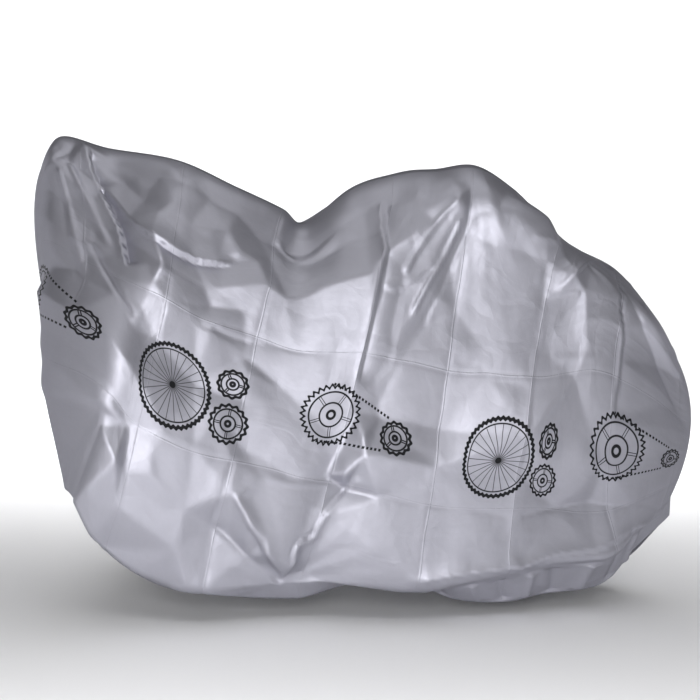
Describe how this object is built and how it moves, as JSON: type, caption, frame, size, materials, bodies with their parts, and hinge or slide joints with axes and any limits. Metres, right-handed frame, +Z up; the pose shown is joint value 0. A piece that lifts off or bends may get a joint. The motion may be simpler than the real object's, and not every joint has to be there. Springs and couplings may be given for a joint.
{
  "type": "bicycle cover",
  "caption": "Fitted cover of thin silver-grey film that drapes over a whole bicycle, hollow and open at the bottom, with soft folds.",
  "frame": {"origin": "the highest point of the top seam over the saddle, where the cover rests on it", "axes": "+X towards the rear of the bicycle, +Y to its far side, +Z up"},
  "size_m": [1.5173, 0.6699, 0.9965],
  "materials": {
    "near_film": "satin silver-grey film, printed with a row of black line motifs",
    "far_film": "satin silver-grey film, printed with a row of black line motifs"
  },
  "bodies": {
    "root": {"near_side_panel": "near_film", "far_side_panel": "far_film"}
  },
  "joints": []
}
